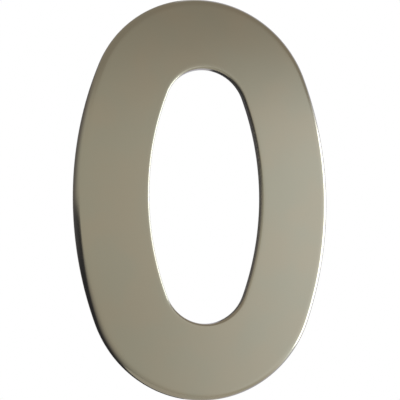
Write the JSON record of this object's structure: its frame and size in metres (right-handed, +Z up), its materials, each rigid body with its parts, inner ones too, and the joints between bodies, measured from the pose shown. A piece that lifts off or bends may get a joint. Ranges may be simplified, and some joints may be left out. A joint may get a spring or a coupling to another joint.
{
  "type": "house number",
  "caption": "House number 0: flat satin nickel oval ring with rounded face edges, fixed from behind by concealed studs.",
  "frame": {"origin": "middle of the flat back face, centre of the two stud holes", "axes": "+Z up the numeral as it is read, +Y out of the back towards the wall, polished face towards -Y"},
  "size_m": [0.0828, 0.0028, 0.127],
  "materials": {
    "satin_nickel": "satin nickel plating on cast brass"
  },
  "bodies": {
    "root": {"numeral_zero": "satin_nickel"}
  },
  "joints": []
}
